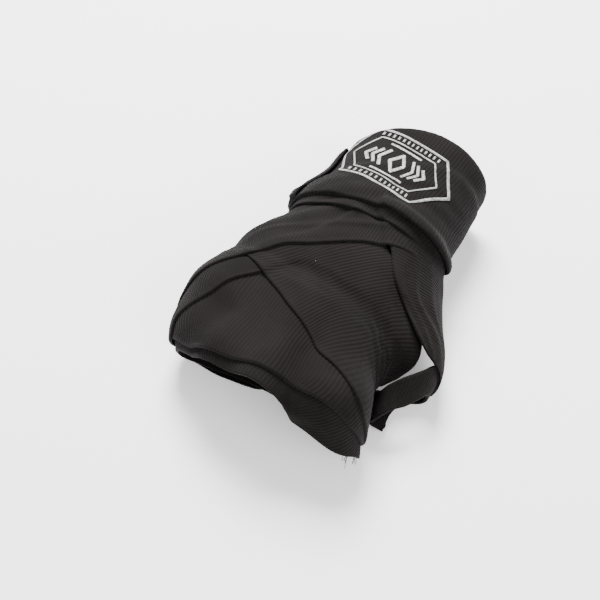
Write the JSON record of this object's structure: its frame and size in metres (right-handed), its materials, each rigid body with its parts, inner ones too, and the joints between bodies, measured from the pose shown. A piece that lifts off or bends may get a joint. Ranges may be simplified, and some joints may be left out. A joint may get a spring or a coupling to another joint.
{
  "type": "elastic hand wrap",
  "caption": "Elastic boxing hand wrap wound round a closed right hand, with a thumb loop, crossed passes over the back, a wrist cuff and a hook-and-loop closing tab.",
  "frame": {"origin": "middle of the flat that the palm side rests on", "axes": "+Z from the palm side to the back of the hand, +Y from the knuckles to the wrist, +X to the thumb side"},
  "size_m": [0.1101, 0.1461, 0.0441],
  "materials": {
    "elastic_cloth": "fine ribbed elastic crepe, black",
    "binding_tape": "woven binding, black",
    "loop_pile": "brushed loop pile, black",
    "hook_pile": "hooked nylon, black",
    "sewing_thread": "twisted polyester thread, black",
    "badge_ink": "screen-printed grey ink"
  },
  "bodies": {
    "hand": {"palm_turn_first": "elastic_cloth", "palm_turn_second": "elastic_cloth", "palm_turn_third": "elastic_cloth", "index_web_pass": "elastic_cloth", "back_hand_pass": "elastic_cloth"},
    "thumb": {"thumb_loop": "elastic_cloth", "thumb_pass": "elastic_cloth", "thumb_loop_bartack": "sewing_thread"},
    "cuff": {"wrist_turn_first": "elastic_cloth", "wrist_turn_second": "elastic_cloth", "wrist_turn_outer": "elastic_cloth", "badge_print_border": "badge_ink", "badge_print_centre": "badge_ink", "loop_tape": "loop_pile"},
    "tab": {"closure_tab": "elastic_cloth", "hook_tape": "hook_pile", "hook_tape_stitching": "sewing_thread", "tab_end_binding": "binding_tape"}
  },
  "joints": [
    {"name": "wrist_flex", "type": "hinge", "parent": "hand", "child": "cuff", "pos_m": [0, 0.04, 0.019], "axis": [1, 0, 0], "range_deg": [-12, 12]},
    {"name": "thumb_swing", "type": "hinge", "parent": "hand", "child": "thumb", "pos_m": [0.028, 0.038, 0.015], "axis": [0, 0, 1], "range_deg": [0, 15]},
    {"name": "closure_tab_peel", "type": "hinge", "parent": "cuff", "child": "tab", "pos_m": [-0.0269, 0.054, 0.0045], "axis": [0, 1, 0], "range_deg": [-75, 0]}
  ]
}
